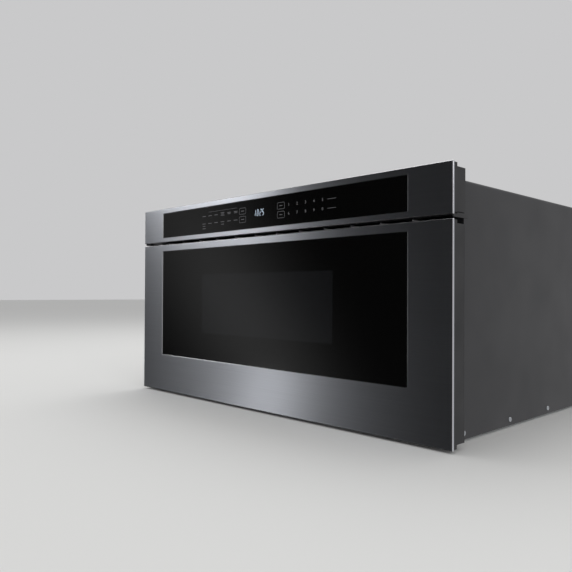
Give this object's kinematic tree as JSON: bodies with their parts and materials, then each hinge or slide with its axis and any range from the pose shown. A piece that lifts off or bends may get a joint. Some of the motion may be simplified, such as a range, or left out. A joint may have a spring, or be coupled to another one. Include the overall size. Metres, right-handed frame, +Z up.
{
  "type": "microwave drawer",
  "caption": "Built-in microwave drawer with a stainless front, black glass window, touch control panel and a motor-driven drawer on telescopic slides.",
  "frame": {"origin": "centre of the whole unit's footprint, at the underside of its pressed feet", "axes": "+X to the user's right, +Z up, the front faces -Y and the drawer opens towards -Y"},
  "size_m": [0.759, 0.674, 0.385],
  "materials": {
    "front_steel": "horizontally brushed stainless steel",
    "black_glass": "black printed glass, polished",
    "clear_glass": "clear glass",
    "black_plastic": "black moulded plastic",
    "screen_metal": "perforated sheet, dark",
    "zinc_sheet": "galvanised sheet steel",
    "dark_sheet": "black painted sheet steel",
    "oven_enamel": "light grey oven paint",
    "tray_ceramic": "white glass ceramic",
    "mica_sheet": "pale mica sheet",
    "bare_aluminium": "bare aluminium",
    "pale_plastic": "natural acetal plastic",
    "core_steel": "varnished steel laminations and coils",
    "circuit_board": "green circuit board with components",
    "slide_steel": "bright zinc-plated steel",
    "red_plastic": "red moulded plastic"
  },
  "bodies": {
    "chassis": {"front_frame": "dark_sheet", "base_plate": "zinc_sheet", "outer_cover": "zinc_sheet", "rear_cover": "zinc_sheet", "cord_gland": "black_plastic", "rear_support": "zinc_sheet", "oven_cavity": "oven_enamel", "stirrer_cover": "mica_sheet", "stirrer_motor": "zinc_sheet", "waveguide": "zinc_sheet", "magnetron": "bare_aluminium", "fan_shroud": "black_plastic", "fan_motor": "core_steel", "air_duct": "black_plastic", "hv_transformer": "core_steel", "hv_capacitor": "bare_aluminium", "power_board": "circuit_board", "lamp_holder": "zinc_sheet", "oven_lamp": "clear_glass", "drive_motor": "zinc_sheet", "motor_bracket": "zinc_sheet", "slide_bracket_left": "zinc_sheet", "slide_bracket_right": "zinc_sheet", "slide_outer_left": "slide_steel", "slide_outer_right": "slide_steel", "interlock_switch_left": "black_plastic", "interlock_switch_right": "black_plastic", "control_frame": "front_steel", "control_glass": "black_glass", "control_housing": "black_plastic", "display_module": "black_plastic", "control_board": "circuit_board", "vent_grille": "black_plastic"},
    "drawer": {"drawer_skin": "front_steel", "drawer_glass": "black_glass", "door_frame": "black_plastic", "window_screen": "screen_metal", "door_choke": "zinc_sheet", "inner_pane": "clear_glass", "choke_cover": "black_plastic", "door_back": "dark_sheet", "drawer_bin": "oven_enamel", "ceramic_tray": "tray_ceramic", "slide_inner_left": "slide_steel", "slide_inner_right": "slide_steel", "rack_left": "pale_plastic", "rack_right": "pale_plastic"},
    "middle_slide_left": {"slide_middle_left": "slide_steel"},
    "middle_slide_right": {"slide_middle_right": "slide_steel"},
    "cross_shaft": {"drive_shaft": "slide_steel", "shaft_gear": "pale_plastic", "pinion_left": "pale_plastic", "pinion_right": "pale_plastic"},
    "motor_pinion": {"motor_gear": "pale_plastic"},
    "fan": {"fan_blade": "pale_plastic"},
    "antenna": {"stirrer": "bare_aluminium"},
    "plunger_left": {"switch_plunger_left": "red_plastic"},
    "plunger_right": {"switch_plunger_right": "red_plastic"}
  },
  "joints": [
    {"name": "drawer_slide", "type": "slide", "parent": "chassis", "child": "drawer", "axis": [0, -1, 0], "range_m": [0, 0.384]},
    {"name": "middle_slide_left_travel", "type": "slide", "parent": "chassis", "child": "middle_slide_left", "axis": [0, -1, 0], "range_m": [0, 0.192]},
    {"name": "middle_slide_right_travel", "type": "slide", "parent": "chassis", "child": "middle_slide_right", "axis": [0, -1, 0], "range_m": [0, 0.192]},
    {"name": "cross_shaft_turn", "type": "hinge", "parent": "chassis", "child": "cross_shaft", "pos_m": [0, -0.265, 0.036], "axis": [1, 0, 0], "range_deg": [0, 1258]},
    {"name": "motor_pinion_turn", "type": "hinge", "parent": "chassis", "child": "motor_pinion", "pos_m": [0.1, -0.22825, 0.036], "axis": [1, 0, 0], "range_deg": [-2515, 0]},
    {"name": "fan_spin", "type": "hinge", "parent": "chassis", "child": "fan", "pos_m": [-0.135, 0.2171, 0.215], "axis": [1, 0, 0], "continuous": true},
    {"name": "stirrer_spin", "type": "hinge", "parent": "chassis", "child": "antenna", "pos_m": [0, -0.072, 0.285], "axis": [0, 0, 1], "continuous": true},
    {"name": "plunger_left_press", "type": "slide", "parent": "chassis", "child": "plunger_left", "axis": [0, 1, 0], "range_m": [0, 0.0008], "stiffness_N_per_m": 600, "springref_m": -0.0015},
    {"name": "plunger_right_press", "type": "slide", "parent": "chassis", "child": "plunger_right", "axis": [0, 1, 0], "range_m": [0, 0.0008], "stiffness_N_per_m": 600, "springref_m": -0.0015}
  ],
  "couplings": [
    {"joint": "middle_slide_left_travel", "follows": "drawer_slide", "ratio": 0.5},
    {"joint": "middle_slide_right_travel", "follows": "drawer_slide", "ratio": 0.5},
    {"joint": "cross_shaft_turn", "follows": "drawer_slide", "rad_per_m": 57.143},
    {"joint": "motor_pinion_turn", "follows": "drawer_slide", "rad_per_m": -114.29}
  ]
}
